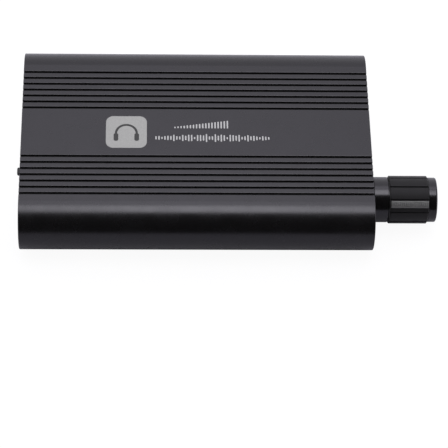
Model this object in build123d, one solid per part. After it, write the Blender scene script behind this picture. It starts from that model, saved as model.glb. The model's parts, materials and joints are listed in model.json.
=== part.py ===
from build123d import *
import math
import os

# Pocket headphone amplifier, millimetres.
# Frame: +X along the case towards the volume knob, +Y towards the back edge, +Z up.
# Origin: centre of the case's flat underside.

# ---------------------------------------------------------------- driving dimensions
# case: one extrusion with full-round long edges
case_length = 108.0
case_width = 70.9
case_height = 18.9
wall = 1.5
end_chamfer = 0.16
grooves_per_bank = 7
first_groove_y = 9.26
groove_pitch = 2.316
groove_width = 0.48
groove_depth = 0.6
groove_lip = 0.35

# end panels, set inside the case's mouths
panel_thickness = 1.5
panel_inset = 0.5
panel_gap = 0.05
screw_y = 29.0
screw_dz = 4.4
boss_radius = 2.7
screw_hole_radius = 1.0
hole_gap = 0.1
slot_gap = 0.15

# circuit board and the rails that hold it
board_bottom = 2.35
board_thickness = 1.6
board_half_width = 26.0
rail_gap = 0.1
rail_ledge = 1.2
rail_lip = 0.8
leg_hole_radius = 0.6

# volume control
knob_y = -18.55
skirt_radius = 6.98
grip_radius = 7.35
cap_radius = 6.85
core_radius = 6.1
skirt_start = 54.3
skirt_end = 58.8
grip_start = 59.15
grip_end = 71.15
cap_start = 71.2
knob_end = 73.7
grip_lands = 11
grip_groove_width = 0.4
grip_groove_depth = 0.5
grip_lip = 0.15
grip_end_slope = 0.35
pointer_elevation = 38.3
knob_edge = 0.15
knob_rim_radius = 0.45
knob_dish_rim = 1.3
knob_dish = 0.2
shaft_radius = 3.0
shaft_gap = 0.05
bushing_radius = 3.5

# sockets, switch and lamps
jack_pitch = 15.0
first_jack_y = 1.0
jack_bore_radius = 1.8
jack_bore_length = 14.1
usb_y = 8.0
usb_width = 8.94
usb_height = 3.16
usb_wall = 0.3
usb_lift = 0.02
switch_y = -7.0
switch_travel = 2.0
switch_rise = 3.3
nub_width = 2.1
nub_height = 1.4
nub_end = -55.5
lamp_radius = 1.5
charge_led_y = 17.0

# ---------------------------------------------------------------- derived places
mid_z = case_height / 2
half_length = case_length / 2
cavity_width = case_width - 2 * wall
cavity_height = case_height - 2 * wall
panel_face = half_length - panel_inset
panel_back = panel_face - panel_thickness
board_top = board_bottom + board_thickness
pin_bottom = wall + 0.3  # every leg ends just above the case's floor
jack_ys = [first_jack_y, first_jack_y + jack_pitch]
power_led_y = first_jack_y + jack_pitch / 2
switch_z = board_top + switch_rise
switch_mid_y = switch_y + switch_travel / 2
usb_z = board_top + usb_height / 2 + usb_lift
capacitor_ys = [-20.0, -11.0, -2.0, 7.0]
capacitor_x = 35.4
chip_places = [(-33.0, -18.0), (-33.0, -8.0)]
charger_place = (-36.0, 4.0)
header_x = -36.0
header_y = 13.0


# ---------------------------------------------------------------- shape helpers
def frame_along_x(x, y, z):
    """Place whose own Z axis points along the case's +X and whose X axis is +Y."""
    return Plane(origin=(x, y, z), x_dir=(0, 1, 0), z_dir=(1, 0, 0)).location


def rod_x(x0, x1, y, z, radius):
    """Round bar lying along X."""
    bar = Cylinder(radius, x1 - x0, align=(Align.CENTER, Align.CENTER, Align.MIN))
    return frame_along_x(x0, y, z) * bar


def cone_x(x0, x1, y, z, radius0, radius1):
    """Cone lying along X."""
    cone = Cone(radius0, radius1, x1 - x0, align=(Align.CENTER, Align.CENTER, Align.MIN))
    return frame_along_x(x0, y, z) * cone


def rod_z(x, y, z0, z1, radius):
    """Upright round bar."""
    bar = Cylinder(radius, z1 - z0, align=(Align.CENTER, Align.CENTER, Align.MIN))
    return Pos(x, y, z0) * bar


def block(x0, x1, y0, y1, z0, z1):
    """Box between two corners."""
    return Pos((x0 + x1) / 2, (y0 + y1) / 2, (z0 + z1) / 2) * Box(x1 - x0, y1 - y0, z1 - z0)


def slab_x(sketch, x0, x1):
    """A flat outline drawn in (Y, Z), made solid from x0 to x1."""
    return extrude(Plane.YZ.offset(x0) * sketch, amount=x1 - x0)


def stadium(width, height, y=0.0, z=mid_z):
    """Full-round slot outline in (Y, Z)."""
    return Pos(y, z) * SlotOverall(width, height)


def window(y0, y1, z0, z1):
    """Rectangle in (Y, Z) between two corners."""
    return Pos((y0 + y1) / 2, (z0 + z1) / 2) * Rectangle(y1 - y0, z1 - z0)


def group(solids):
    """Separate solids kept in one node."""
    return Compound(children=[part.solid() for part in solids])


def save(node, shape):
    export_step(shape, f"parts/{node}.step")


# ---------------------------------------------------------------- shared places
def groove_ys():
    """Centre line of every groove: one bank each side of the plain middle."""
    bank = [first_groove_y + i * groove_pitch for i in range(grooves_per_bank)]
    return [side * y for side in (-1, 1) for y in bank]


def screw_places():
    """Centres of the four panel screws, in (Y, Z)."""
    return [(sy * screw_y, mid_z + sz * screw_dz) for sy in (-1, 1) for sz in (-1, 1)]


# ---------------------------------------------------------------- case
def case_outline():
    """Outside of the extrusion: a stadium with rounded-lip grooves above and below."""
    outline = stadium(case_width, case_height)
    for y in groove_ys():
        for z in (0, case_height):
            outline -= Pos(y, z) * Rectangle(groove_width, 2 * groove_depth)
    last_lip = first_groove_y + grooves_per_bank * groove_pitch
    lips = [v for v in outline.vertices() if abs(v.X) < last_lip and on_skin(v)]
    return fillet(lips, groove_lip)


def on_skin(corner):
    """True for a corner of the outline that lies on the flat top or underside."""
    return min(abs(corner.Y), abs(corner.Y - case_height)) < 0.001


def rail_outline(side):
    """Ledge, web and lip that hold one edge of the board, joined to the lower boss."""
    inner = board_half_width - rail_ledge
    web = board_half_width + rail_gap
    lip_top = board_top + rail_gap + rail_lip
    foot = wall - 0.2
    ledge = window(inner, screw_y, foot, board_bottom - rail_gap)
    wall_part = window(web, screw_y, foot, lip_top)
    lip = window(board_half_width - rail_lip, screw_y, board_top + rail_gap, lip_top)
    rail = ledge + wall_part + lip
    return rail if side > 0 else mirror(rail, about=Plane.YZ)


def inner_outline():
    """Screw bosses and board rails, trimmed so that they only bite into the wall."""
    inner = Sketch()
    for y, z in screw_places():
        inner += Pos(y, z) * Circle(boss_radius)
    for side in (-1, 1):
        inner += rail_outline(side)
    return inner & stadium(cavity_width + wall / 2, cavity_height + wall / 2)


def case_shell():
    section = case_outline() - stadium(cavity_width, cavity_height) + inner_outline()
    for y, z in screw_places():
        section -= Pos(y, z) * Circle(screw_hole_radius)
    shell = slab_x(section, -half_length, half_length)
    mouth = stadium(cavity_width, cavity_height)
    shell -= slab_x(mouth, panel_back, half_length)
    shell -= slab_x(mouth, -half_length, -panel_back)
    for side in (0, -1):
        end_face = shell.faces().sort_by(Axis.X)[side]
        shell = chamfer(end_face.outer_wire().edges(), end_chamfer)
    return shell


# ---------------------------------------------------------------- end panels
countersink_depth = 1.1
countersink_radius = 2.1
head_depth = 1.0
head_radius = 1.95
shank_radius = 0.95
screw_length = 6.0
recess_depth = 0.7
recess_reach = 1.1
recess_half = 0.22


def blank_panel():
    """End plate with four countersunk holes, made at the knob end."""
    outline = stadium(cavity_width - 2 * panel_gap, cavity_height - 2 * panel_gap)
    plate = slab_x(outline, panel_back, panel_face)
    for y, z in screw_places():
        plate -= rod_x(panel_back, panel_face, y, z, screw_hole_radius + slot_gap)
        plate -= cone_x(panel_face - countersink_depth, panel_face, y, z,
                        screw_hole_radius, countersink_radius)
    return plate


def front_panel():
    plate = blank_panel()
    plate -= rod_x(panel_back, panel_face, knob_y, mid_z, bushing_radius + hole_gap)
    plate -= rod_x(panel_back, panel_face, power_led_y, mid_z, lamp_radius + hole_gap)
    for y in jack_ys:
        plate -= rod_x(panel_back, panel_face, y, mid_z, jack_nose_radius + hole_gap)
    return plate


def rear_panel():
    plate = mirror(blank_panel(), about=Plane.YZ)
    slot = window(
        switch_y - nub_width / 2 - slot_gap,
        switch_y + switch_travel + nub_width / 2 + slot_gap,
        switch_z - nub_height / 2 - slot_gap,
        switch_z + nub_height / 2 + slot_gap,
    )
    port = stadium(usb_width + 2 * hole_gap, usb_height + 2 * hole_gap, usb_y, usb_z)
    plate -= slab_x(slot + port, -panel_face, -panel_back)
    plate -= rod_x(-panel_face, -panel_back, charge_led_y, mid_z, lamp_radius + hole_gap)
    return plate


def panel_screw(y, z):
    """Countersunk cross-head screw at the knob end, head flush with the panel."""
    head = cone_x(panel_face - head_depth, panel_face, y, z, shank_radius, head_radius)
    shank = rod_x(panel_face - screw_length, panel_face - head_depth, y, z, shank_radius)
    floor = panel_face - recess_depth
    recess = block(floor, panel_face, y - recess_reach, y + recess_reach,
                   z - recess_half, z + recess_half)
    recess += block(floor, panel_face, y - recess_half, y + recess_half,
                    z - recess_reach, z + recess_reach)
    return head + shank - recess


def front_panel_screws():
    return group([panel_screw(y, z) for y, z in screw_places()])


def rear_panel_screws():
    return group([mirror(panel_screw(y, z), about=Plane.YZ) for y, z in screw_places()])


# ---------------------------------------------------------------- volume control
pot_plate_thickness = 1.6
pot_half_width = 5.0
pot_top = 14.9
pot_back = 42.6
pot_floor = pot_back + 1.2
pot_cavity_radius = 4.4
pot_pin_x = pot_back + 3.0
pot_pin_pitch = 2.0
track_thickness = 0.8
track_hole_radius = 1.2
rotor_start = pot_back + 3.4
rotor_end = pot_back + 4.6
finger_radius = 3.55
finger_half = 0.35
pot_front = panel_back - pot_plate_thickness
washer_thickness = 0.3
washer_radius = 4.9
nut_thickness = 1.5
nut_across_flats = 9.0
nut_start = panel_face + washer_thickness
bushing_end = nut_start + nut_thickness + 0.3
hub_start = bushing_end + 0.3
grub_x = 57.3
grub_radius = 1.25
grub_elevation = -60.0
grub_sink = 0.7
grub_socket_radius = 0.65
grub_socket_depth = 1.3
shaft_end = 68.0
shaft_flat = 2.5


def pot_pins():
    """Where the potentiometer's terminals pass through the board."""
    return [(pot_pin_x, knob_y + i * pot_pin_pitch) for i in range(-2, 3)]


def pot_frame():
    """Die-cast front plate with its bushing, bored for the shaft."""
    plate = block(pot_front, panel_back, knob_y - pot_half_width, knob_y + pot_half_width,
                  board_top, pot_top)
    bushing = rod_x(panel_back, bushing_end, knob_y, mid_z, bushing_radius)
    bore = rod_x(pot_front, bushing_end, knob_y, mid_z, shaft_radius + shaft_gap)
    return plate + bushing - bore


def pot_case():
    """Moulded rear housing, open towards the front plate."""
    body = block(pot_back, pot_front, knob_y - pot_half_width, knob_y + pot_half_width,
                 board_top, pot_top)
    return body - rod_x(pot_floor, pot_front, knob_y, mid_z, pot_cavity_radius)


def pot_track():
    """Resistive wafer at the bottom of the housing."""
    top = pot_floor + track_thickness
    wafer = rod_x(pot_floor, top, knob_y, mid_z, pot_cavity_radius)
    return wafer - rod_x(pot_floor, top, knob_y, mid_z, track_hole_radius)


def pot_terminals():
    return group([block(x - 0.15, x + 0.15, y - 0.4, y + 0.4, pin_bottom, board_top)
                  for x, y in pot_pins()])


def pot_washer():
    washer = rod_x(panel_face, nut_start, knob_y, mid_z, washer_radius)
    return washer - rod_x(panel_face, nut_start, knob_y, mid_z, bushing_radius + 0.05)


def pot_nut():
    outline = Pos(knob_y, mid_z) * RegularPolygon(nut_across_flats / 2, 6, major_radius=False)
    nut = slab_x(outline, nut_start, nut_start + nut_thickness)
    return nut - rod_x(nut_start, nut_start + nut_thickness, knob_y, mid_z, bushing_radius)


def on_knob_axis(shape, elevation=90.0):
    """Put a shape made about the X axis on the knob's axis, its top turned to an elevation.

    The elevation is measured upwards from the horizontal that faces the front edge.
    """
    return Pos(0, knob_y, mid_z) * shape.rotate(Axis.X, 90 - elevation)


def pot_shaft():
    """Shaft with a flat for the grub screw."""
    shaft = rod_x(rotor_start, shaft_end, 0, 0, shaft_radius)
    shaft -= block(hub_start, shaft_end, -shaft_radius, shaft_radius, shaft_flat, shaft_radius)
    return on_knob_axis(shaft, grub_elevation)


def pot_rotor():
    """Wiper carrier on the shaft, with two fingers that reach the track."""
    rotor = rod_x(rotor_start, rotor_end, 0, 0, pot_cavity_radius - 0.3)
    rotor -= rod_x(rotor_start, rotor_end, 0, 0, shaft_radius)
    finger_start = pot_floor + track_thickness + 0.05
    for side in (-1, 1):
        z = side * finger_radius
        rotor += block(finger_start, rotor_start + 0.2, -finger_half, finger_half,
                       z - finger_half, z + finger_half)
    return on_knob_axis(rotor)


def knob_profile():
    """Half section of the knob's metal body, as distance along X and radius."""
    cavity_radius = nut_across_flats / math.sqrt(3) + 0.5
    dish_radius = cap_radius - knob_dish_rim
    outline = Polyline(
        (hub_start, 0), (hub_start, cavity_radius), (skirt_start, cavity_radius),
        (skirt_start, skirt_radius - knob_edge), (skirt_start + knob_edge, skirt_radius),
        (skirt_end - knob_edge, skirt_radius), (skirt_end, skirt_radius - knob_edge),
        (skirt_end, core_radius), (cap_start, core_radius), (cap_start, cap_radius),
        (knob_end, cap_radius), (knob_end, dish_radius),
        (knob_end - knob_dish, dish_radius - knob_dish), (knob_end - knob_dish, 0), close=True,
    )
    profile = make_face(outline)
    rim = profile.vertices().sort_by_distance((knob_end, cap_radius))[0]
    return fillet(rim, knob_rim_radius)


def volume_knob():
    """Turned metal body: hollow skirt over the nut, core for the grip, and end cap."""
    knob = revolve(knob_profile(), axis=Axis.X)
    knob -= rod_x(hub_start, shaft_end + 0.4, 0, 0, shaft_radius + 0.02)
    knob -= rod_z(grub_x, 0, 0, skirt_radius + 1, grub_radius).rotate(Axis.X, 90 - grub_elevation)
    return on_knob_axis(knob)


def grip_section():
    """Cross section of the grip: a ring with rounded-lip grooves between its lands."""
    section = Circle(grip_radius) - Circle(core_radius)
    groove = Pos(0, grip_radius) * Rectangle(grip_groove_width, 2 * grip_groove_depth)
    for i in range(grip_lands):
        section -= Rot(0, 0, (i + 0.5) * 360 / grip_lands) * groove
    lips = [v for v in section.vertices() if math.hypot(v.X, v.Y) > grip_radius - 0.01]
    return fillet(lips, grip_lip)


def knob_grip():
    """Moulded sleeve on the knob's core, grooved lengthwise into lands."""
    outline = Polyline(
        (grip_start, core_radius), (grip_start, grip_radius - knob_edge),
        (grip_start + knob_edge, grip_radius), (grip_end - grip_end_slope, grip_radius),
        (grip_end, cap_radius), (grip_end, core_radius), close=True,
    )
    sleeve = revolve(make_face(outline), axis=Axis.X)
    sleeve &= slab_x(grip_section(), grip_start, grip_end)
    return on_knob_axis(sleeve, pointer_elevation)


def knob_grub_screw():
    """Socket set screw in the skirt, its end on the shaft's flat."""
    top = skirt_radius - grub_sink
    socket = extrude(RegularPolygon(grub_socket_radius, 6), amount=grub_socket_depth)
    screw = rod_z(grub_x, 0, shaft_flat, top, grub_radius - 0.03)
    screw -= Pos(grub_x, 0, top - grub_socket_depth) * socket
    return on_knob_axis(screw, grub_elevation)


# ---------------------------------------------------------------- 3.5 mm sockets
jack_nose_radius = 3.0
jack_half_width = 4.5
jack_back = panel_face - jack_bore_length - 0.7
jack_top = 14.0
jack_seat = panel_back - 0.05
contact_stations = [(40.6, -1), (45.2, 1), (49.6, 1)]
contact_width = 1.8
contact_thickness = 0.3
contact_offset = jack_bore_radius + 0.05
contact_low = board_top + 0.3
contact_high = mid_z + 1.0
contact_leg_inset = 0.5


def contact_span(side, y):
    """Y range of a contact's slot, from just outside the bore to the housing's side."""
    near = y + side * (jack_bore_radius - 0.1)
    far = y + side * jack_half_width
    return min(near, far), max(near, far)


def jack_body(y):
    """Moulded socket housing with a round nose, a blind bore and three contact slots."""
    body = block(jack_back, jack_seat, y - jack_half_width, y + jack_half_width,
                 board_top, jack_top)
    body += rod_x(jack_seat, panel_face, y, mid_z, jack_nose_radius)
    for x, side in contact_stations:
        y0, y1 = contact_span(side, y)
        body -= block(x, x + contact_width + 0.2, y0, y1, board_top, contact_high + 0.2)
    return body - rod_x(panel_face - jack_bore_length, panel_face, y, mid_z, jack_bore_radius)


def contact_pin(x, side, y):
    """Corner of a contact strip nearest to the bore's axis, and its far face, in Y."""
    near = y + side * contact_offset
    far = near + side * contact_thickness
    return x + 0.1, min(near, far), max(near, far)


def jack_contacts(y):
    """Three spring strips beside the bore, each with a leg through the board."""
    strips = []
    for x, side in contact_stations:
        x0, y0, y1 = contact_pin(x, side, y)
        strip = block(x0, x0 + contact_width, y0, y1, contact_low, contact_high)
        strip += block(x0 + contact_leg_inset, x0 + contact_width - contact_leg_inset, y0, y1,
                       pin_bottom, contact_low)
        strips.append(strip)
    return group(strips)


def jack_pins():
    """Where the sockets' legs pass through the board."""
    pins = []
    for y in jack_ys:
        for x, side in contact_stations:
            x0, y0, y1 = contact_pin(x, side, y)
            pins.append((x0 + contact_width / 2, (y0 + y1) / 2))
    return pins


# ---------------------------------------------------------------- charging socket
usb_mouth = -(panel_face - 0.2)
usb_depth = 6.9
usb_back_wall = 0.4
usb_back = usb_mouth + usb_depth
tongue_width = 6.68
tongue_thickness = 0.7
tongue_start = usb_back - 6.2
tongue_base = usb_back - 1.2


def usb_opening():
    return stadium(usb_width - 2 * usb_wall, usb_height - 2 * usb_wall, usb_y, usb_z)


def usb_port_shell():
    """Folded steel sleeve, open outwards and closed at the back."""
    sleeve = slab_x(stadium(usb_width, usb_height, usb_y, usb_z), usb_mouth,
                    usb_back + usb_back_wall)
    return sleeve - slab_x(usb_opening(), usb_mouth, usb_back)


def usb_port_tongue():
    """Moulded tongue with its base at the back of the sleeve."""
    tongue = Pos(usb_y, usb_z) * Rectangle(tongue_width, tongue_thickness)
    base = slab_x(usb_opening(), tongue_base, usb_back)
    return slab_x(tongue, tongue_start, tongue_base) + base


# ---------------------------------------------------------------- gain switch
switch_half_width = 4.3
switch_front = -(panel_back - 0.1)
switch_plate = 0.4
switch_back = switch_front + 5.4
switch_wall = 0.4
switch_top = 2 * switch_z - board_top
switch_base_depth = 1.6
switch_pin_pitch = 2.0
nub_gap = 0.12
slider_gap = 0.08
carrier_depth = 1.6
carrier_half_width = 1.9
carrier_half_height = 1.7
nub_chamfer = 0.25


def switch_pins():
    """Where the switch's terminals pass through the board."""
    return [(switch_back - 1.0, switch_mid_y + i * switch_pin_pitch) for i in (-1, 0, 1)]


def inside_switch(start):
    """The can's inner space from a place along X to its back."""
    half = switch_half_width - switch_wall
    return block(start, switch_back, switch_mid_y - half, switch_mid_y + half,
                 board_top + switch_wall, switch_top - switch_wall)


def gain_switch_frame():
    """Folded steel can over the switch, slotted for the nub."""
    can = block(switch_front, switch_back, switch_mid_y - switch_half_width,
                switch_mid_y + switch_half_width, board_top, switch_top)
    can -= inside_switch(switch_front + switch_plate)
    reach = switch_travel / 2 + nub_width / 2 + nub_gap
    rise = nub_height / 2 + nub_gap
    slot = window(switch_mid_y - reach, switch_mid_y + reach, switch_z - rise, switch_z + rise)
    return can - slab_x(slot, switch_front, switch_front + switch_plate)


def gain_switch_base():
    """Moulded base that closes the can's back."""
    return inside_switch(switch_back - switch_base_depth)


def gain_switch_terminals():
    return group([block(x - 0.25, x + 0.25, y - 0.15, y + 0.15, pin_bottom, board_top)
                  for x, y in switch_pins()])


def gain_switch_slider():
    """Carrier inside the can and the nub that reaches out through the panel."""
    inside = switch_front + switch_plate + slider_gap
    carrier = block(inside, inside + carrier_depth,
                    switch_y - carrier_half_width, switch_y + carrier_half_width,
                    switch_z - carrier_half_height, switch_z + carrier_half_height)
    nub = block(nub_end, inside, switch_y - nub_width / 2, switch_y + nub_width / 2,
                switch_z - nub_height / 2, switch_z + nub_height / 2)
    tip_edges = nub.edges().group_by(Axis.X)[0]
    return carrier + chamfer(tip_edges, nub_chamfer)


# ---------------------------------------------------------------- lamps
lamp_tip = panel_face + 0.3
lamp_length = 5.0
lamp_back = lamp_tip - lamp_length
lamp_flange_radius = 1.9
lamp_flange_depth = 0.9
lead_pitch = 1.27
lead_half = 0.25
lead_end = lamp_back - 2.5


def lamp(y):
    """Domed lamp lying along X behind the knob-end panel."""
    body = rod_x(lamp_back, lamp_tip - lamp_radius, y, mid_z, lamp_radius)
    dome = Pos(lamp_tip - lamp_radius, y, mid_z) * Sphere(lamp_radius)
    flange = rod_x(lamp_back, lamp_back + lamp_flange_depth, y, mid_z, lamp_flange_radius)
    return body + dome + flange


def lamp_leads(y):
    """Two leads that run back from a lamp and turn down through the board."""
    leads = []
    for side in (-1, 1):
        middle = y + side * lead_pitch / 2
        run = block(lead_end, lamp_back, middle - lead_half, middle + lead_half,
                    mid_z - lead_half, mid_z + lead_half)
        drop = block(lead_end, lead_end + 2 * lead_half, middle - lead_half,
                     middle + lead_half, pin_bottom, mid_z)
        leads.append(run + drop)
    return leads


def power_led():
    return lamp(power_led_y)


def charge_led():
    return mirror(lamp(charge_led_y), about=Plane.YZ)


def led_leads():
    front = lamp_leads(power_led_y)
    rear = [mirror(lead, about=Plane.YZ) for lead in lamp_leads(charge_led_y)]
    return group(front + rear)


def lamp_pins():
    """Where the lamps' leads pass through the board."""
    x = lead_end + lead_half
    sides = (-lead_pitch / 2, lead_pitch / 2)
    return [(x, power_led_y + s) for s in sides] + [(-x, charge_led_y + s) for s in sides]


# ---------------------------------------------------------------- battery
cell_x0 = -20.0
cell_x1 = 31.0
cell_y0 = -13.0
cell_y1 = 21.0
cell_thickness = 6.0
cell_edge_radius = 2.0
pad_thickness = 1.0
pad_margin = 4.0
cell_bottom = board_top + pad_thickness
guard_thickness = 0.8
guard_inset = 0.6
guard_y0 = 2.0
guard_y1 = 16.0
wire_radius = 0.55
wire_z = 7.4
wire_bend_radius = 2.0
plug_front = header_x + 6.0
plug_half_width = 2.7
plug_half_height = 1.7
header_wall = 0.8
header_gap = 0.1


def battery_pad():
    """Foam pad that sticks the cell to the board."""
    return block(cell_x0 + pad_margin, cell_x1 - pad_margin,
                 cell_y0 + pad_margin, cell_y1 - pad_margin, board_top, cell_bottom)


def battery_cell():
    """Pouch cell with soft long edges."""
    cell = block(cell_x0, cell_x1, cell_y0, cell_y1, cell_bottom, cell_bottom + cell_thickness)
    return fillet(cell.edges().filter_by(Axis.X), cell_edge_radius)


def battery_guard_board():
    """Small protection board across the cell's end."""
    return block(cell_x0 - guard_thickness, cell_x0, guard_y0, guard_y1,
                 cell_bottom + guard_inset, cell_bottom + cell_thickness - guard_inset)


def battery_wire(cell_end_y, plug_end_y, first_run):
    """Insulated wire from the protection board to the plug: straight, slanting, straight."""
    start_x = cell_x0 - guard_thickness
    route = FilletPolyline(
        (start_x, cell_end_y, wire_z), (start_x - first_run, cell_end_y, wire_z),
        (start_x - first_run - 2.2, plug_end_y, wire_z), (plug_front, plug_end_y, wire_z),
        radius=[wire_bend_radius, wire_bend_radius],
    )
    start = Plane(origin=(start_x, cell_end_y, wire_z), z_dir=(-1, 0, 0))
    return sweep(start * Circle(wire_radius), path=route)


def battery_wire_red():
    return battery_wire(7.0, header_y - 1.0, first_run=3.6)


def battery_wire_black():
    return battery_wire(9.0, header_y + 1.0, first_run=2.9)


def battery_header():
    """Board socket for the battery plug: a box open towards the cell."""
    mouth = plug_front - 1.0
    half = plug_half_width + header_gap
    top = wire_z + plug_half_height + header_gap
    shroud = block(header_x - 1.5, mouth, header_y - half - header_wall,
                   header_y + half + header_wall, board_top, top + header_wall)
    return shroud - block(header_x, mouth, header_y - half, header_y + half, board_top + 1.0, top)


def battery_plug():
    """Two-way crimp housing pushed into the header."""
    plug = block(header_x + 0.4, plug_front,
                 header_y - plug_half_width, header_y + plug_half_width,
                 wire_z - plug_half_height, wire_z + plug_half_height)
    return chamfer(plug.edges().group_by(Axis.X)[-1], 0.3)


# ---------------------------------------------------------------- board and its parts
chip_half_length = 2.45
chip_half_width = 1.95
chip_low = board_top + 0.15
chip_high = board_top + 1.65
chip_lead_pitch = 1.27
chip_lead_half = 0.2
chip_lead_thickness = 0.2
chip_lead_height = 0.9
chip_lead_bend = 2.4
chip_lead_reach = 3.0
capacitor_radius = 3.0
capacitor_height = 7.0
capacitor_neck = (1.2, 1.7)
capacitor_neck_depth = 0.25
capacitor_lead_half_pitch = 1.25
capacitor_lead_radius = 0.3
inductor_centre = (-44.0, -17.0)
inductor_side = 6.0
inductor_height = 3.0
resistor_size = (1.6, 0.8, 0.45)
chip_capacitor_size = (2.0, 1.3, 1.1)


def chip(x, y):
    """Eight-lead chip body, standing just off the board."""
    body = block(x - chip_half_length, x + chip_half_length,
                 y - chip_half_width, y + chip_half_width, chip_low, chip_high)
    return chamfer(body.edges().group_by(Axis.Z)[-1], 0.2)


def chip_lead(x, y, side):
    """Gull-wing lead on one side of a chip."""
    inner = chip_lead_bend - chip_lead_thickness
    shoulder_low = chip_lead_height - chip_lead_thickness
    spans = [
        (chip_half_width, chip_lead_bend, shoulder_low, chip_lead_height),
        (inner, chip_lead_bend, 0, chip_lead_height),
        (inner, chip_lead_reach, 0, chip_lead_thickness),
    ]
    lead = Part()
    for near, far, low, high in spans:
        y0, y1 = sorted((y + side * near, y + side * far))
        lead += block(x - chip_lead_half, x + chip_lead_half, y0, y1,
                      board_top + low, board_top + high)
    return lead


def board_part(x, y, size):
    """Small block-shaped part standing on the board."""
    length, width, height = size
    return block(x - length / 2, x + length / 2, y - width / 2, y + width / 2,
                 board_top, board_top + height)


def amp_chips():
    return group([chip(x, y) for x, y in chip_places])


def charger_chip():
    return chip(*charger_place)


def chip_leads():
    leads = []
    for x, y in chip_places + [charger_place]:
        for i in range(4):
            for side in (-1, 1):
                leads.append(chip_lead(x + (i - 1.5) * chip_lead_pitch, y, side))
    return group(leads)


def power_inductor():
    """Shielded coil for the supply converter."""
    core = board_part(*inductor_centre, (inductor_side, inductor_side, inductor_height))
    return fillet(core.edges().filter_by(Axis.Z), 1.2)


def filter_capacitor(y):
    """Aluminium can with a pressed neck near its foot."""
    can = rod_z(capacitor_x, y, board_top, board_top + capacitor_height, capacitor_radius)
    low, high = (board_top + height for height in capacitor_neck)
    neck = rod_z(capacitor_x, y, low, high, capacitor_radius)
    neck -= rod_z(capacitor_x, y, low, high, capacitor_radius - capacitor_neck_depth)
    return fillet((can - neck).edges().group_by(Axis.Z)[-1], 0.3)


def filter_capacitors():
    return group([filter_capacitor(y) for y in capacitor_ys])


def capacitor_pins():
    """Where the filter capacitors' leads pass through the board."""
    offsets = (-capacitor_lead_half_pitch, capacitor_lead_half_pitch)
    return [(capacitor_x, y + offset) for y in capacitor_ys for offset in offsets]


def filter_capacitor_leads():
    return group([rod_z(x, y, pin_bottom, board_top, capacitor_lead_radius)
                  for x, y in capacitor_pins()])


def chip_resistors():
    """Two rows of small resistors between the amplifier chips and the switch."""
    return group([board_part(x, y, resistor_size)
                  for x in (-26.5, -39.5) for y in range(-22, -1, 3)])


def chip_capacitors():
    """A row of small ceramic capacitors along each long edge of the board."""
    return group([board_part(x, y, chip_capacitor_size)
                  for y in (-23.6, 23.6) for x in range(-20, 31, 10)])


def main_board():
    """Board drilled for every leg that passes through it."""
    half = panel_back - 0.3
    board = block(-half, half, -board_half_width, board_half_width, board_bottom, board_top)
    legs = pot_pins() + jack_pins() + switch_pins() + lamp_pins() + capacitor_pins()
    for x, y in legs:
        board -= rod_z(x, y, board_bottom, board_top, leg_hole_radius)
    return board


# ---------------------------------------------------------------- write every node
def main():
    os.makedirs("parts", exist_ok=True)
    nodes = {
        "case_shell": case_shell(),
        "front_panel": front_panel(),
        "rear_panel": rear_panel(),
        "front_panel_screws": front_panel_screws(),
        "rear_panel_screws": rear_panel_screws(),
        "main_board": main_board(),
        "pot_frame": pot_frame(),
        "pot_case": pot_case(),
        "pot_track": pot_track(),
        "pot_terminals": pot_terminals(),
        "pot_washer": pot_washer(),
        "pot_nut": pot_nut(),
        "pot_shaft": pot_shaft(),
        "pot_rotor": pot_rotor(),
        "volume_knob": volume_knob(),
        "knob_grip": knob_grip(),
        "knob_grub_screw": knob_grub_screw(),
        "headphone_jack_body": jack_body(jack_ys[0]),
        "headphone_jack_contacts": jack_contacts(jack_ys[0]),
        "input_jack_body": jack_body(jack_ys[1]),
        "input_jack_contacts": jack_contacts(jack_ys[1]),
        "usb_port_shell": usb_port_shell(),
        "usb_port_tongue": usb_port_tongue(),
        "gain_switch_frame": gain_switch_frame(),
        "gain_switch_base": gain_switch_base(),
        "gain_switch_terminals": gain_switch_terminals(),
        "gain_switch_slider": gain_switch_slider(),
        "power_led": power_led(),
        "charge_led": charge_led(),
        "led_leads": led_leads(),
        "battery_cell": battery_cell(),
        "battery_pad": battery_pad(),
        "battery_guard_board": battery_guard_board(),
        "battery_wire_red": battery_wire_red(),
        "battery_wire_black": battery_wire_black(),
        "battery_plug": battery_plug(),
        "battery_header": battery_header(),
        "amp_chips": amp_chips(),
        "charger_chip": charger_chip(),
        "chip_leads": chip_leads(),
        "power_inductor": power_inductor(),
        "filter_capacitors": filter_capacitors(),
        "filter_capacitor_leads": filter_capacitor_leads(),
        "chip_resistors": chip_resistors(),
        "chip_capacitors": chip_capacitors(),
    }
    for node, shape in nodes.items():
        save(node, shape)


main()
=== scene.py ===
import json
import math

import bmesh
import bpy
from mathutils import Matrix, Vector


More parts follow.
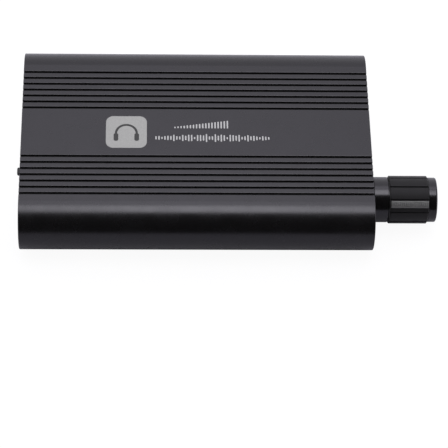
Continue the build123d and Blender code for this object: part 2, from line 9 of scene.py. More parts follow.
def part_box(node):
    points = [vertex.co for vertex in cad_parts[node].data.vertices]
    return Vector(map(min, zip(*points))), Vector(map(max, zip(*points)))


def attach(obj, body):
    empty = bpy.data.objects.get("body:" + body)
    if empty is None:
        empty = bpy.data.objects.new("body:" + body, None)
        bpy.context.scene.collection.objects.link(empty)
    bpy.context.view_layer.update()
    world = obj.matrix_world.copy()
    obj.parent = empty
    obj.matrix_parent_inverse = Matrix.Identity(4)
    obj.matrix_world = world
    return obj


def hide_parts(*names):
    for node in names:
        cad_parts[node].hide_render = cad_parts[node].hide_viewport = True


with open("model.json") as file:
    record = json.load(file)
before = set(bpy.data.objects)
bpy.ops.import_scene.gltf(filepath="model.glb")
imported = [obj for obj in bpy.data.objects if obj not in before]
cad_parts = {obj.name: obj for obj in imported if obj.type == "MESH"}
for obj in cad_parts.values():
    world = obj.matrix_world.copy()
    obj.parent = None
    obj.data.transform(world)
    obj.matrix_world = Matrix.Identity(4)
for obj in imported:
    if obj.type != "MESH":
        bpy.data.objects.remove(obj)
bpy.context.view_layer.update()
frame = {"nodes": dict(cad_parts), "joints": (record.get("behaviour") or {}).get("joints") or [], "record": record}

# Looks of the pocket headphone amplifier. Lengths are in metres, in the CAD frame:
# +X towards the knob, +Y towards the back edge, +Z up, origin under the case's middle.
MM = 0.001
NODES = frame["nodes"]
MOUNTS = {mount["name"]: mount for mount in frame["record"]["mounts"]}
JOINTS = {joint["name"]: joint for joint in frame["joints"]}

CASE_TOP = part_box("case_shell")[1].z
FRONT_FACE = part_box("front_panel")[1].x
REAR_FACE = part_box("rear_panel")[0].x
PANEL_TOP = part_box("front_panel")[1].z
KNOB_AXIS = Vector(JOINTS["volume_turn"]["pos_m"])

# ------------------------------------------------------------------ camera
LENS_MM = 173.18
SENSOR_MM = 36.0
CAMERA_YAW = math.radians(3.65)
CAMERA_ELEVATION = math.radians(55.933)
CAMERA_ROLL = math.radians(3.22)
CAMERA_DISTANCE = 681.43 * MM
ORIGIN_RIGHT = -10.118 * MM
ORIGIN_UP = 17.29 * MM
CLIP_START = 0.05
CLIP_END = 20.0


def make_camera():
    """Camera above the front edge, turned a little and rolled a little, with no shift."""
    unyaw = Matrix.Rotation(-CAMERA_YAW, 3, "Z")
    right = Vector((1, 0, 0))
    up = Vector((0, math.sin(CAMERA_ELEVATION), math.cos(CAMERA_ELEVATION)))
    ahead = Vector((0, math.cos(CAMERA_ELEVATION), -math.sin(CAMERA_ELEVATION)))
    place = unyaw @ (-ORIGIN_RIGHT * right - ORIGIN_UP * up - CAMERA_DISTANCE * ahead)
    cos_roll, sin_roll = math.cos(CAMERA_ROLL), math.sin(CAMERA_ROLL)
    x_axis = unyaw @ (cos_roll * right + sin_roll * up)
    y_axis = unyaw @ (cos_roll * up - sin_roll * right)
    z_axis = unyaw @ -ahead
    data = bpy.data.cameras.new("camera")
    data.sensor_width = SENSOR_MM
    data.lens = LENS_MM
    data.clip_start = CLIP_START
    data.clip_end = CLIP_END
    camera = bpy.data.objects.new("camera", data)
    turn = Matrix((x_axis, y_axis, z_axis)).transposed().to_4x4()
    camera.matrix_world = Matrix.Translation(place) @ turn
    bpy.context.scene.collection.objects.link(camera)
    bpy.context.scene.camera = camera


# ------------------------------------------------------------------ light and floor
# Elevations are angles over the front horizon: 90 is overhead, 180 the back horizon.
SOFTBOX_ELEVATION = math.radians(91.0)
SOFTBOX_DISTANCE = 0.95
SOFTBOX_WIDTH = 0.38
SOFTBOX_DEPTH = 0.44
SOFTBOX_SIDEWAYS = 0.03
SOFTBOX_TURN = math.radians(10.0)
SOFTBOX_RADIANCE = 4.1
TENT_RADIANCE = 1.1
TENT_TINT = (0.955, 0.945, 1.0)
# The tent's front is open where |x| + y of a direction is under GAP_OPEN, shut over GAP_SHUT.
GAP_OPEN = -0.10
GAP_SHUT = -0.02
GAP_RADIANCE = 0.025
GLOW_ELEVATION = math.radians(118.0)
GLOW_RADIANCE = 1.75
GLOW_REACH = 0.30
BACKDROP_RADIANCE = 0.97
BACKDROP_TINT = (0.99, 0.99, 1.0)
# The floor's reflectance fades from front to back over the object. The camera sees it mixed
# with plain white, by the share FLOOR_WHITENING.
FLOOR_HALF = 3.0
FLOOR_FADE = 40 * MM
FLOOR_FRONT = 0.55
FLOOR_BACK = 0.90
FLOOR_WHITENING = 0.85
FLOOR_WHITE = 1.1


def make_softbox():
    """Softbox above the case, set by the radiance of its face."""
    data = bpy.data.lights.new("softbox", "AREA")
    data.shape = "RECTANGLE"
    data.size = SOFTBOX_WIDTH
    data.size_y = SOFTBOX_DEPTH
    data.energy = SOFTBOX_RADIANCE * math.pi * SOFTBOX_WIDTH * SOFTBOX_DEPTH
    softbox = bpy.data.objects.new("softbox", data)
    place = Matrix.Translation((SOFTBOX_SIDEWAYS, 0, 0))
    swing = Matrix.Rotation(math.pi / 2 - SOFTBOX_ELEVATION, 4, "X")
    lift = Matrix.Translation((0, 0, SOFTBOX_DISTANCE))
    turn = Matrix.Rotation(SOFTBOX_TURN, 4, "Z")
    softbox.matrix_world = place @ swing @ lift @ turn
    softbox.visible_camera = False
    bpy.context.scene.collection.objects.link(softbox)


def make_world():
    """Light tent with a bright patch high on its back wall and an open front, seen as plain white."""
    world = bpy.data.worlds.new("studio")
    bpy.context.scene.world = world
    world.use_nodes = True
    tree = world.node_tree
    direction = tree.nodes.new("ShaderNodeTexCoord").outputs["Generated"]
    parts = tree.nodes.new("ShaderNodeSeparateXYZ")
    tree.links.new(direction, parts.inputs[0])
    across = math_node(tree, "ABSOLUTE", parts.outputs["X"])
    forward = math_node(tree, "ADD", across, parts.outputs["Y"])
    walls = map_range(tree, forward, (GAP_OPEN, GAP_SHUT), (GAP_RADIANCE, TENT_RADIANCE), smooth=True)
    away = tree.nodes.new("ShaderNodeVectorMath")
    away.operation = "DISTANCE"
    tree.links.new(direction, away.inputs[0])
    away.inputs[1].default_value = (0, -math.cos(GLOW_ELEVATION), math.sin(GLOW_ELEVATION))
    glow = map_range(tree, away.outputs["Value"], (0.0, GLOW_REACH), (GLOW_RADIANCE, 0.0), smooth=True)
    seen = tree.nodes.new("ShaderNodeLightPath").outputs["Is Camera Ray"]
    strength = tree.nodes.new("ShaderNodeMix")
    strength.data_type = "FLOAT"
    tree.links.new(seen, strength.inputs["Factor"])
    tree.links.new(math_node(tree, "ADD", walls, glow), strength.inputs["A"])
    strength.inputs["B"].default_value = BACKDROP_RADIANCE
    background = tree.nodes["Background"]
    tree.links.new(ramp(tree, seen, TENT_TINT, BACKDROP_TINT, 0.0, 1.0), background.inputs["Color"])
    tree.links.new(strength.outputs["Result"], background.inputs["Strength"])


def make_floor():
    """Pale table top, whitened where the camera sees it, as a lit table is."""
    mesh = bpy.data.meshes.new("floor")
    corners = [(FLOOR_HALF * x, FLOOR_HALF * y, 0) for x, y in ((-1, -1), (1, -1), (1, 1), (-1, 1))]
    mesh.from_pydata(corners, [], [(0, 1, 2, 3)])
    floor = bpy.data.objects.new("floor", mesh)
    bpy.context.scene.collection.objects.link(floor)
    material, tree, shader = new_material("floor_white")
    places = tree.nodes.new("ShaderNodeSeparateXYZ")
    tree.links.new(coordinates(tree), places.inputs[0])
    sweep = map_range(tree, places.outputs["Y"], (-FLOOR_FADE, FLOOR_FADE), (0.0, 1.0))
    front = [FLOOR_FRONT * c for c in TENT_TINT]
    back = [FLOOR_BACK * c for c in TENT_TINT]
    tree.links.new(ramp(tree, sweep, front, back, 0.0, 1.0), shader.inputs["Base Color"])
    bump(tree, noise(tree, scale=900.0, detail=4.0), 0.02 * MM, shader)
    shader.inputs["Roughness"].default_value = 0.9
    shader.inputs["Specular IOR Level"].default_value = 0.1
    white = tree.nodes.new("ShaderNodeEmission")
    white.inputs["Strength"].default_value = FLOOR_WHITE
    seen = tree.nodes.new("ShaderNodeLightPath").outputs["Is Camera Ray"]
    blend = tree.nodes.new("ShaderNodeMixShader")
    tree.links.new(math_node(tree, "MULTIPLY", seen, FLOOR_WHITENING), blend.inputs["Fac"])
    tree.links.new(shader.outputs["BSDF"], blend.inputs[1])
    tree.links.new(white.outputs["Emission"], blend.inputs[2])
    tree.links.new(blend.outputs[0], tree.nodes["Material Output"].inputs["Surface"])
    mesh.materials.append(material)


# ------------------------------------------------------------------ shader helpers
def new_material(name):
    """A new material, its node tree and its main shader."""
    material = bpy.data.materials.new(name)
    material.use_nodes = True
    return material, material.node_tree, material.node_tree.nodes["Principled BSDF"]


def math_node(tree, operation, *values):
    """One step of arithmetic on numbers or node outputs."""
    node = tree.nodes.new("ShaderNodeMath")
    node.operation = operation
    for socket, value in zip(node.inputs, values):
        if isinstance(value, (int, float)):
            socket.default_value = value
        else:
            tree.links.new(value, socket)
    return node.outputs[0]


def map_range(tree, value, source, target, smooth=False):
    """Number that goes over target's two ends as value goes over source's."""
    node = tree.nodes.new("ShaderNodeMapRange")
    if smooth:
        node.interpolation_type = "SMOOTHSTEP"
    node.inputs["From Min"].default_value = source[0]
    node.inputs["From Max"].default_value = source[1]
    node.inputs["To Min"].default_value = target[0]
    node.inputs["To Max"].default_value = target[1]
    tree.links.new(value, node.inputs["Value"])
    return node.outputs["Result"]


def coordinates(tree, stretch=(1, 1, 1), centre=(0, 0, 0)):
    """The surface point in metres from a centre, with each axis stretched."""
    texture = tree.nodes.new("ShaderNodeTexCoord")
    mapping = tree.nodes.new("ShaderNodeMapping")
    mapping.vector_type = "POINT"
    mapping.inputs["Location"].default_value = [-c * s for c, s in zip(centre, stretch)]
    mapping.inputs["Scale"].default_value = stretch
    tree.links.new(texture.outputs["Object"], mapping.inputs["Vector"])
    return mapping.outputs["Vector"]


def noise(tree, scale, detail=2.0, stretch=(1, 1, 1), roughness=0.5):
    """Grain with about scale features to the metre."""
    texture = tree.nodes.new("ShaderNodeTexNoise")
    texture.inputs["Scale"].default_value = scale
    texture.inputs["Detail"].default_value = detail
    texture.inputs["Roughness"].default_value = roughness
    tree.links.new(coordinates(tree, stretch), texture.inputs["Vector"])
    return texture.outputs["Fac"]


def cells(tree, scale, feature="F1", distance="EUCLIDEAN"):
    """Cell pattern with about scale cells to the metre."""
    texture = tree.nodes.new("ShaderNodeTexVoronoi")
    texture.feature = feature
    if feature != "DISTANCE_TO_EDGE":
        texture.distance = distance
    texture.inputs["Scale"].default_value = scale
    tree.links.new(coordinates(tree), texture.inputs["Vector"])
    return texture.outputs["Distance"]


def ramp(tree, value, low, high, start=0.35, end=0.65):
    """Colour that goes from low to high as value goes from start to end."""
    node = tree.nodes.new("ShaderNodeValToRGB")
    node.color_ramp.elements[0].position = start
    node.color_ramp.elements[0].color = (*low, 1)
    node.color_ramp.elements[1].position = end
    node.color_ramp.elements[1].color = (*high, 1)
    tree.links.new(value, node.inputs["Fac"])
    return node.outputs["Color"]


def spread(tree, value, low, high):
    """Number that goes from low to high over the middle of a grain's range."""
    return map_range(tree, value, (0.3, 0.7), (low, high))


def bump(tree, height, depth, shader, strength=1.0, under=None):
    """Relief of the given depth in metres, over an earlier relief if there is one."""
    node = tree.nodes.new("ShaderNodeBump")
    node.inputs["Strength"].default_value = strength
    node.inputs["Distance"].default_value = depth
    tree.links.new(height, node.inputs["Height"])
    if under is not None:
        tree.links.new(under, node.inputs["Normal"])
    tree.links.new(node.outputs["Normal"], shader.inputs["Normal"])
    return node.outputs["Normal"]


def grained(name, dark, light, scale, rough, depth, metallic=0.0, stretch=(1, 1, 1)):
    """Plain moulded, cast or drawn surface: mottled colour, uneven gloss and fine relief."""
    material, tree, shader = new_material(name)
    grain = noise(tree, scale, detail=4.0, stretch=stretch)
    cloud = noise(tree, scale / 12, detail=2.0)
    tree.links.new(ramp(tree, cloud, dark, light), shader.inputs["Base Color"])
    tree.links.new(spread(tree, cloud, rough[0], rough[1]), shader.inputs["Roughness"])
    shader.inputs["Metallic"].default_value = metallic
    bump(tree, grain, depth, shader)
    return material


def mottled(tree, grain, tone, shader):
    """Base colour that varies with a grain from a darker to a lighter shade of a tone."""
    low = [c * 0.75 for c in tone]
    high = [c * 1.35 for c in tone]
    tree.links.new(ramp(tree, grain, low, high, 0.3, 0.7), shader.inputs["Base Color"])


# ------------------------------------------------------------------ materials, one by one
SKIN_TINT = (0.935, 0.915, 1.0, 1.0)


def anodised(name, tone, rough):
    """Bead-blasted and anodised aluminium: fine frosting under a dark, even, satin skin."""
    material, tree, shader = new_material(name)
    frost = noise(tree, scale=5200.0, detail=3.0, roughness=0.6)
    cloud = noise(tree, scale=160.0, detail=3.0)
    drawn = noise(tree, scale=900.0, detail=3.0, stretch=(0.02, 1, 1))
    mottled(tree, frost, tone, shader)
    tree.links.new(spread(tree, cloud, rough - 0.02, rough + 0.03), shader.inputs["Roughness"])
    shader.inputs["Specular Tint"].default_value = SKIN_TINT
    first = bump(tree, drawn, 0.0010 * MM, shader)
    bump(tree, frost, 0.0007 * MM, shader, under=first)
    return material


def along_profile(tree):
    """Distance from the knob's axis plus distance along it: it grows all along the profile."""
    parts = tree.nodes.new("ShaderNodeSeparateXYZ")
    tree.links.new(coordinates(tree, centre=(0, KNOB_AXIS.y, KNOB_AXIS.z)), parts.inputs[0])
    radial = tree.nodes.new("ShaderNodeCombineXYZ")
    tree.links.new(parts.outputs["Y"], radial.inputs["Y"])
    tree.links.new(parts.outputs["Z"], radial.inputs["Z"])
    radius = tree.nodes.new("ShaderNodeVectorMath")
    radius.operation = "LENGTH"
    tree.links.new(radial.outputs[0], radius.inputs[0])
    return math_node(tree, "ADD", radius.outputs["Value"], parts.outputs["X"])


def turned(name, tone, rough):
    """Lathe-turned and anodised aluminium: fine rings about the knob's axis."""
    material, tree, shader = new_material(name)
    texture = tree.nodes.new("ShaderNodeTexNoise")
    texture.noise_dimensions = "1D"
    texture.inputs["Scale"].default_value = 6000.0
    texture.inputs["Detail"].default_value = 3.0
    tree.links.new(along_profile(tree), texture.inputs["W"])
    rings = texture.outputs["Fac"]
    frost = noise(tree, scale=4200.0, detail=2.0)
    mottled(tree, frost, tone, shader)
    tree.links.new(spread(tree, rings, rough - 0.03, rough + 0.04), shader.inputs["Roughness"])
    shader.inputs["Specular Tint"].default_value = SKIN_TINT
    first = bump(tree, rings, 0.003 * MM, shader)
    bump(tree, frost, 0.003 * MM, shader, under=first)
    return material


def laminate(name):
    """Circuit board: copper runs showing as raised lines under green solder mask."""
    material, tree, shader = new_material(name)
    runs = cells(tree, scale=420.0, distance="MANHATTAN")
    cloud = noise(tree, scale=300.0, detail=3.0)
    weave = noise(tree, scale=2500.0, detail=2.0)
    tree.links.new(ramp(tree, runs, (0.012, 0.10, 0.035), (0.006, 0.045, 0.018), 0.45, 0.55),
                   shader.inputs["Base Color"])
    tree.links.new(spread(tree, cloud, 0.25, 0.38), shader.inputs["Roughness"])
    first = bump(tree, runs, 0.02 * MM, shader)
    bump(tree, weave, 0.004 * MM, shader, under=first)
    return material


def foil(name):
    """Heat-sealed pouch: shallow creases in dull silver foil."""
    material, tree, shader = new_material(name)
    creases = cells(tree, scale=160.0, feature="DISTANCE_TO_EDGE")
    cloud = noise(tree, scale=250.0, detail=4.0)
    tree.links.new(ramp(tree, cloud, (0.50, 0.51, 0.53), (0.66, 0.67, 0.69)),
                   shader.inputs["Base Color"])
    shader.inputs["Metallic"].default_value = 0.9
    tree.links.new(spread(tree, cloud, 0.28, 0.42), shader.inputs["Roughness"])
    first = bump(tree, creases, 0.10 * MM, shader, strength=0.5)
    bump(tree, cloud, 0.05 * MM, shader, under=first)
    return material


def foam(name):
    """Closed-cell foam: small round hollows, with painted shade that darkens each one towards its bottom."""
    material, tree, shader = new_material(name)
    pits_and_shade = cells(tree, scale=2200.0)
    # Painted shade: the colour is darkest at each hollow's bottom, where the relief sinks deepest.
    tree.links.new(ramp(tree, pits_and_shade, (0.015, 0.015, 0.016), (0.06, 0.06, 0.062), 0.1, 0.6),
                   shader.inputs["Base Color"])
    shader.inputs["Roughness"].default_value = 0.95
    bump(tree, pits_and_shade, 0.12 * MM, shader)
    return material


def epoxy(name, tint):
    """Moulded lamp lens: diffused epoxy, which lets only a little light straight through."""
    material, tree, shader = new_material(name)
    cloud = noise(tree, scale=1500.0, detail=2.0)
    pale = [c * 1.08 for c in tint]
    tree.links.new(ramp(tree, cloud, tint, pale), shader.inputs["Base Color"])
    tree.links.new(spread(tree, cloud, 0.16, 0.22), shader.inputs["Roughness"])
    shader.inputs["Transmission Weight"].default_value = 0.10
    shader.inputs["IOR"].default_value = 1.53
    bump(tree, cloud, 0.001 * MM, shader)
    return material


def printed(name, dark, light):
    """Screen-printed ink: a slightly uneven, matt film."""
    material, tree, shader = new_material(name)
    speckle = noise(tree, scale=4200.0, detail=4.0)
    tree.links.new(ramp(tree, speckle, dark, light), shader.inputs["Base Color"])
    tree.links.new(spread(tree, speckle, 0.50, 0.66), shader.inputs["Roughness"])
    bump(tree, speckle, 0.006 * MM, shader)
    return material


def knurled(name):
    """Pointer inlay of the knob: bare rough metal."""
    material, tree, shader = new_material(name)
    speckle = noise(tree, scale=3600.0, detail=3.0)
    tree.links.new(ramp(tree, speckle, (0.26, 0.26, 0.256), (0.36, 0.36, 0.353)),
                   shader.inputs["Base Color"])
    tree.links.new(spread(tree, speckle, 0.38, 0.46), shader.inputs["Roughness"])
    shader.inputs["Metallic"].default_value = 1.0
    bump(tree, speckle, 0.010 * MM, shader)
    return material


def rubber(name):
    """Moulded rubber sleeve: matt, with a very fine even grain."""
    material, tree, shader = new_material(name)
    grain = noise(tree, scale=6000.0, detail=2.0)
    cloud = noise(tree, scale=300.0, detail=3.0)
    tree.links.new(ramp(tree, grain, (0.0055, 0.0054, 0.0053), (0.0090, 0.0088, 0.0086)),
                   shader.inputs["Base Color"])
    tree.links.new(spread(tree, cloud, 0.46, 0.54), shader.inputs["Roughness"])
    shader.inputs["Specular IOR Level"].default_value = 0.20
    shader.inputs["Sheen Weight"].default_value = 0.10
    shader.inputs["Sheen Roughness"].default_value = 0.45
    shader.inputs["Specular Tint"].default_value = SKIN_TINT
    bump(tree, grain, 0.006 * MM, shader)
    return material


def make_materials():
    """One material for each of the record's slots."""
    return {
        "case_anodised": anodised("case_anodised", tone=(0.0036, 0.0034, 0.0034), rough=0.26),
        "panel_anodised": anodised("panel_anodised", tone=(0.0060, 0.0058, 0.0060), rough=0.27),
        "knob_anodised": turned("knob_anodised", tone=(0.0036, 0.0034, 0.0034), rough=0.19),
        "grip_rubber": rubber("grip_rubber"),
        "black_steel": grained(
            "black_steel", (0.012, 0.012, 0.012), (0.022, 0.022, 0.023),
            scale=2600.0, rough=(0.28, 0.40), depth=0.004 * MM, metallic=0.3),
        "nickel_plate": grained(
            "nickel_plate", (0.55, 0.54, 0.51), (0.66, 0.65, 0.61),
            scale=1800.0, rough=(0.20, 0.32), depth=0.003 * MM, metallic=1.0),
        "plain_aluminium": grained(
            "plain_aluminium", (0.66, 0.66, 0.67), (0.76, 0.76, 0.77),
            scale=2400.0, rough=(0.25, 0.36), depth=0.004 * MM, metallic=1.0),
        "gold_plate": grained(
            "gold_plate", (0.86, 0.60, 0.22), (0.93, 0.70, 0.30),
            scale=2000.0, rough=(0.18, 0.28), depth=0.003 * MM, metallic=1.0),
        "board_laminate": laminate("board_laminate"),
        "black_plastic": grained(
            "black_plastic", (0.012, 0.012, 0.012), (0.019, 0.019, 0.019),
            scale=2600.0, rough=(0.38, 0.50), depth=0.012 * MM),
        "white_plastic": grained(
            "white_plastic", (0.74, 0.72, 0.65), (0.80, 0.78, 0.72),
            scale=2200.0, rough=(0.40, 0.52), depth=0.010 * MM),
        "phenolic": grained(
            "phenolic", (0.13, 0.06, 0.025), (0.19, 0.10, 0.045),
            scale=1600.0, rough=(0.45, 0.60), depth=0.010 * MM, stretch=(1, 0.3, 1)),
        "lamp_clear": epoxy("lamp_clear", tint=(0.66, 0.70, 0.73)),
        "lamp_red": epoxy("lamp_red", tint=(0.50, 0.03, 0.025)),
        "cell_pouch": foil("cell_pouch"),
        "foam": foam("foam"),
        "wire_red": grained(
            "wire_red", (0.50, 0.015, 0.012), (0.60, 0.025, 0.020),
            scale=3000.0, rough=(0.35, 0.48), depth=0.006 * MM),
        "wire_black": grained(
            "wire_black", (0.012, 0.012, 0.012), (0.020, 0.020, 0.020),
            scale=3000.0, rough=(0.35, 0.48), depth=0.006 * MM),
        "ferrite": grained(
            "ferrite", (0.05, 0.05, 0.052), (0.09, 0.09, 0.092),
            scale=2600.0, rough=(0.55, 0.75), depth=0.020 * MM),
        "resistor_body": grained(
            "resistor_body", (0.010, 0.010, 0.012), (0.020, 0.020, 0.022),
            scale=5000.0, rough=(0.25, 0.40), depth=0.005 * MM),
        "capacitor_body": grained(
            "capacitor_body", (0.40, 0.28, 0.17), (0.50, 0.36, 0.23),
            scale=5000.0, rough=(0.45, 0.60), depth=0.008 * MM),
        "can_aluminium": grained(
            "can_aluminium", (0.72, 0.72, 0.73), (0.80, 0.80, 0.81),
            scale=1800.0, rough=(0.22, 0.34), depth=0.004 * MM, metallic=1.0,
            stretch=(1, 1, 0.1)),
    }


def dress_nodes(materials):
    """Give every CAD node the material of its slot."""
    for part in frame["record"]["subparts"]:
        mesh = NODES[part["node"]].data
        mesh.materials.clear()
        mesh.materials.append(materials[part["material_slot"]])


# ------------------------------------------------------------------ flat outlines
def capsule(centre, width, height, steps=6):
    """Upright bar with round ends, as (u, v) points."""
    u, v = centre
    radius = width / 2
    straight = max(height / 2 - radius, 0)
    points = []
    for start, end_v in ((0, v + straight), (math.pi, v - straight)):
        for i in range(steps + 1):
            angle = start + math.pi * i / steps
            points.append((u + radius * math.cos(angle), end_v + radius * math.sin(angle)))
    return points


def rounded_rectangle(centre, width, height, radius, steps=10):
    """Rectangle with round corners, as (u, v) points."""
    u, v = centre
    points = []
    for corner in range(4):
        side_u = 1 if corner in (0, 3) else -1
        side_v = 1 if corner in (0, 1) else -1
        for i in range(steps + 1):
            angle = math.radians(90 * (corner + i / steps))
            points.append((u + side_u * (width / 2 - radius) + radius * math.cos(angle),
                           v + side_v * (height / 2 - radius) + radius * math.sin(angle)))
    return points


def arc_band(centre, inner, outer, start, end, steps=28):
    """Part of a ring between two angles in degrees, as (u, v) points."""
    u, v = centre
    angles = [math.radians(start + (end - start) * i / steps) for i in range(steps + 1)]
    there = [(u + outer * math.cos(a), v + outer * math.sin(a)) for a in angles]
    back = [(u + inner * math.cos(a), v + inner * math.sin(a)) for a in reversed(angles)]
    return there + back


def headphone_outlines(centre, size):
    """Plain headphone pictogram: a bow with a cup at each end."""
    u, v = centre
    bow = 0.42 * size
    stroke = 0.085 * size
    foot = v - 0.06 * size
    cup_width = 0.17 * size
    cup_height = 0.34 * size
    cup_corner = 0.07 * size
    outlines = [arc_band((u, foot), bow - stroke, bow, 0, 180)]
    for side in (-1, 1):
        cup = (u + side * (bow - stroke / 2), foot - cup_height / 2)
        outlines.append(rounded_rectangle(cup, cup_width, cup_height, cup_corner, steps=5))
    return outlines


def line_in_outlines(centre):
    """Ring broken at the top, with an arrow that comes down into it."""
    u, v = centre
    radius = 1.15 * MM
    stroke = 0.20 * MM
    shoulder = 0.45 * MM
    neck = v + 0.1 * MM
    tip = v - 0.6 * MM
    stem_width = 0.22 * MM
    stem_length = 1.2 * MM
    return [
        arc_band(centre, radius - stroke, radius, 120, 420),
        [(u - shoulder, neck), (u, tip), (u + shoulder, neck)],
        capsule((u, v + stem_length / 2), stem_width, stem_length),
    ]


def level_outlines(foot, count):
    """Rising bars side by side on one foot, as many as the gain is high."""
    u, v = foot
    lowest = 0.5 * MM
    rise = 0.45 * MM
    pitch = 0.5 * MM
    width = 0.28 * MM
    outlines = []
    for i in range(count):
        height = lowest + i * rise
        place = u + (i - (count - 1) / 2) * pitch
        outlines.append(capsule((place, v + height / 2), width, height))
    return outlines


def bolt_outline(centre):
    """Lightning bolt: three corners, and the same three turned half round."""
    u, v = centre
    corners = [(0.25 * MM, 1.1 * MM), (-0.55 * MM, -0.15 * MM), (-0.05 * MM, -0.15 * MM)]
    corners += [(-across, -above) for across, above in corners]
    return [(u + across, v + above) for across, above in corners]


# ------------------------------------------------------------------ piece helpers
def bridge(work, first, second):
    """Faces between two rings of as many points."""
    faces = []
    for i in range(len(first)):
        after = (i + 1) % len(first)
        faces.append(work.faces.new((first[i], first[after], second[after], second[i])))
    return faces


def finish_piece(name, work, material, body):
    """The worked shape as a piece that rides on a CAD body."""
    bmesh.ops.recalc_face_normals(work, faces=work.faces)
    mesh = bpy.data.meshes.new(name)
    work.to_mesh(mesh)
    work.free()
    mesh.materials.append(material)
    piece = bpy.data.objects.new(name, mesh)
    bpy.context.scene.collection.objects.link(piece)
    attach(piece, body)
    return piece


def film(name, outlines, origin, right, up, thickness, material):
    """Thin raised film on the case: flat outlines laid on a face, each a closed prism."""
    away = right.cross(up).normalized()
    work = bmesh.new()
    for outline in outlines:
        low = [work.verts.new(origin + right * u + up * v) for u, v in outline]
        high = [work.verts.new(vert.co + away * thickness) for vert in low]
        work.faces.new(list(reversed(low)))
        work.faces.new(high)
        bridge(work, low, high)
    finish_piece(name, work, material, "case")


# ------------------------------------------------------------------ printed marks
# Places are (u, v): on the top, from its middle along +X and +Y. On a panel v is the height
# and u is the distance to the right of the middle as seen from outside.
FILM = 0.03 * MM
BADGE_CENTRE = (-21.6 * MM, -0.10 * MM)
BADGE_WIDTH = 12.6 * MM
BADGE_DEPTH = 12.1 * MM
BADGE_CORNER = 2.3 * MM
PICTURE_SIZE = 0.70 * BADGE_DEPTH
RAMP_START = -6.6 * MM
RAMP_TICKS = 18
RAMP_PITCH = 0.955 * MM
RAMP_FOOT = 1.4 * MM
TICK_WIDTH = 0.46 * MM
TICK_LOW = 0.6 * MM
TICK_HIGH = 3.0 * MM
WAVE_START = -12.45 * MM
WAVE_BARS = 39
WAVE_PITCH = 0.915 * MM
WAVE_CENTRE = -2.3 * MM
BAR_WIDTH = 0.44 * MM
BAR_LOW = 0.8 * MM
BAR_SWING = 2.7 * MM
PANEL_MARK_DROP = 2.3 * MM
PANEL_PHONES_SIZE = 2.6 * MM
GAIN_MARK_SIDE = 2.2 * MM
GAIN_MARK_DROP = 0.7 * MM
BOLT_DROP = 1.0 * MM


def volume_ramp():
    """Row of ticks that rise to the right."""
    ticks = []
    for i in range(RAMP_TICKS):
        height = TICK_LOW + (TICK_HIGH - TICK_LOW) * i / (RAMP_TICKS - 1)
        place = RAMP_START + i * RAMP_PITCH
        ticks.append(capsule((place, RAMP_FOOT + height / 2), TICK_WIDTH, height))
    return ticks


def level_bars():
    """Row of bars like a sound wave that swells in the middle."""
    bars = []
    for i in range(WAVE_BARS):
        swell = math.sin(math.pi * (i + 1) / (WAVE_BARS + 1)) ** 0.6
        beat = 0.5 + 0.3 * math.sin(2.3 * i) + 0.2 * math.cos(5.1 * i)
        place = WAVE_START + i * WAVE_PITCH
        bars.append(capsule((place, WAVE_CENTRE), BAR_WIDTH, BAR_LOW + BAR_SWING * swell * beat))
    return bars


def make_top_marks():
    """Silver badge with a pictogram, a rising row of ticks, and a row of level bars."""
    right, up = Vector((1, 0, 0)), Vector((0, 1, 0))
    top = Vector((0, 0, CASE_TOP))
    badge_top = Vector((0, 0, CASE_TOP + FILM))
    silver = printed("badge_silver", (0.31, 0.31, 0.30), (0.37, 0.37, 0.36))
    dark = printed("badge_dark", (0.020, 0.020, 0.020), (0.032, 0.032, 0.032))
    pale = printed("mark_pale", (0.42, 0.42, 0.42), (0.50, 0.50, 0.50))
    plate = rounded_rectangle(BADGE_CENTRE, BADGE_WIDTH, BADGE_DEPTH, BADGE_CORNER)
    picture = headphone_outlines(BADGE_CENTRE, PICTURE_SIZE)
    film("badge_plate", [plate], top, right, up, FILM, silver)
    film("badge_picture", picture, badge_top, right, up, FILM / 2, dark)
    film("mark_volume_ramp", volume_ramp(), top, right, up, FILM, pale)
    film("mark_level_bars", level_bars(), top, right, up, FILM, pale)


def front_panel_outlines():
    """A headphone over its socket, and a broken ring with an arrow over the input."""
    row = PANEL_TOP - PANEL_MARK_DROP
    phones_y = MOUNTS["headphone_out"]["pos_m"][1]
    line_in_y = MOUNTS["audio_in"]["pos_m"][1]
    return headphone_outlines((phones_y, row), PANEL_PHONES_SIZE) + line_in_outlines((line_in_y, row))


def rear_panel_outlines():
    """Bars beside the gain switch, one and three, and a bolt over the charging socket."""
    row = PANEL_TOP - PANEL_MARK_DROP
    switch_low, switch_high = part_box("gain_switch_frame")
    port_low, port_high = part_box("usb_port_shell")
    outlines = []
    for side, count in ((-1, 1), (1, 3)):
        place = -(switch_low.y + switch_high.y) / 2 - side * GAIN_MARK_SIDE
        outlines += level_outlines((place, row - GAIN_MARK_DROP), count)
    outlines.append(bolt_outline((-(port_low.y + port_high.y) / 2, row - BOLT_DROP)))
    return outlines


def make_panel_marks():
    """Small plain pictograms beside the sockets and the switch, each panel seen from outside."""
    pale = printed("panel_mark_pale", (0.50, 0.50, 0.50), (0.60, 0.60, 0.60))
    along, up = Vector((0, 1, 0)), Vector((0, 0, 1))
    front = Vector((FRONT_FACE, 0, 0))
    rear = Vector((REAR_FACE, 0, 0))
    film("front_panel_marks", front_panel_outlines(), front, along, up, FILM, pale)
    film("rear_panel_marks", rear_panel_outlines(), rear, -along, up, FILM, pale)


# ------------------------------------------------------------------ knob pointer
POINTER_SKIRT_GAP = 0.30 * MM
POINTER_CAP_GAP = 0.20 * MM
POINTER_PITCH = 0.65 * MM
# Angles above the front horizon, about the knob's axis.
POINTER_TOP = math.radians(51.8)
POINTER_BOTTOM = math.radians(35.0)
POINTER_RISE = 0.07 * MM
POINTER_BED = 0.03 * MM
POINTER_VALLEY = 0.25
POINTER_STEPS = 8
POINTER_FACETS = 14


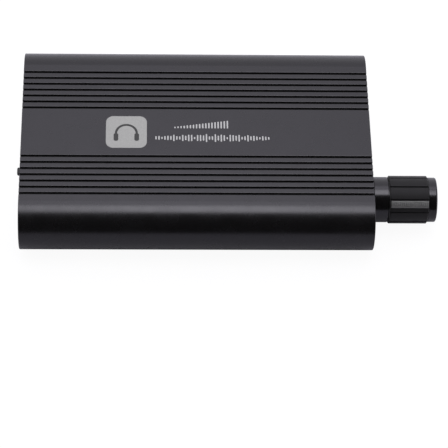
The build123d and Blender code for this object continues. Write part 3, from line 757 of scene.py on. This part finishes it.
def pointer_ring(work, x, radius, rise):
    """One section of the pointer: a crowned arc on the grip and two points sunk in it."""
    spots = []
    for i in range(POINTER_FACETS + 1):
        part = i / POINTER_FACETS
        angle = POINTER_BOTTOM + (POINTER_TOP - POINTER_BOTTOM) * part
        spots.append((angle, radius + rise * math.sin(math.pi * part) ** 0.5))
    spots.append((POINTER_TOP, radius - POINTER_BED))
    spots.append((POINTER_BOTTOM, radius - POINTER_BED))
    return [work.verts.new((x, KNOB_AXIS.y - reach * math.cos(angle),
                            KNOB_AXIS.z + reach * math.sin(angle))) for angle, reach in spots]


def make_pointer():
    """Ribbed pale inlay on the grip's land that points at the volume setting."""
    grip_low, grip_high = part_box("knob_grip")
    radius = (grip_high.z - grip_low.z) / 2
    start = grip_low.x + POINTER_SKIRT_GAP
    length = grip_high.x - POINTER_CAP_GAP - start
    ribs = round(length / POINTER_PITCH)
    work = bmesh.new()
    rings = []
    for i in range(ribs * POINTER_STEPS + 1):
        wave = 0.5 - 0.5 * math.cos(2 * math.pi * i / POINTER_STEPS)
        rise = POINTER_RISE * (POINTER_VALLEY + (1 - POINTER_VALLEY) * wave)
        rings.append(pointer_ring(work, start + length * i / (ribs * POINTER_STEPS), radius, rise))
    for first, second in zip(rings, rings[1:]):
        bridge(work, first, second)
    work.faces.new(list(reversed(rings[0])))
    work.faces.new(rings[-1])
    finish_piece("knob_pointer", work, knurled("pointer_grey"), "volume")


# ------------------------------------------------------------------ lamp lenses
LENS_RADIUS = 1.5 * MM
LENS_FLANGE = 0.9 * MM
LENS_DOME_STEPS = 12
LENS_SEGMENTS = 48


def lens_profile(length, flange_radius):
    """Depths behind the tip, with radii: the dome and barrel, then the flange."""
    profile = []
    for i in range(1, LENS_DOME_STEPS + 1):
        angle = math.pi / 2 * i / LENS_DOME_STEPS
        profile.append((LENS_RADIUS * (1 - math.cos(angle)), LENS_RADIUS * math.sin(angle)))
    profile.append((length - LENS_FLANGE, LENS_RADIUS))
    profile.append((length - LENS_FLANGE, flange_radius))
    profile.append((length, flange_radius))
    return profile


def make_lens(node, material):
    """Smooth moulded lens along X in place of a lamp: dome, barrel and flange."""
    low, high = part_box(node)
    middle = (low + high) / 2
    length = high.x - low.x
    inward = -1 if middle.x > 0 else 1
    work = bmesh.new()
    tip = work.verts.new((middle.x - inward * length / 2, middle.y, middle.z))
    rings = []
    for depth, radius in lens_profile(length, (high.z - low.z) / 2):
        ring = []
        for i in range(LENS_SEGMENTS):
            angle = 2 * math.pi * i / LENS_SEGMENTS
            ring.append(work.verts.new((tip.co.x + inward * depth,
                                        middle.y + radius * math.cos(angle),
                                        middle.z + radius * math.sin(angle))))
        rings.append(ring)
    for vert, after in zip(rings[0], rings[0][1:] + rings[0][:1]):
        work.faces.new((tip, vert, after)).smooth = True
    for i, (first, second) in enumerate(zip(rings, rings[1:])):
        for face in bridge(work, first, second):
            face.smooth = i < LENS_DOME_STEPS
    work.faces.new(rings[-1])
    piece = finish_piece(node + "_lens", work, material, "case")
    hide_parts(node)


# ------------------------------------------------------------------ build the scene
def make_scene():
    """Stage, materials on the CAD nodes, and the pieces that only Blender adds."""
    view = bpy.context.scene.view_settings
    view.view_transform = "Standard"
    view.look = "None"
    make_camera()
    make_world()
    make_floor()
    make_softbox()
    materials = make_materials()
    dress_nodes(materials)
    make_top_marks()
    make_panel_marks()
    make_pointer()
    make_lens("power_led", materials["lamp_clear"])
    make_lens("charge_led", materials["lamp_red"])


make_scene()
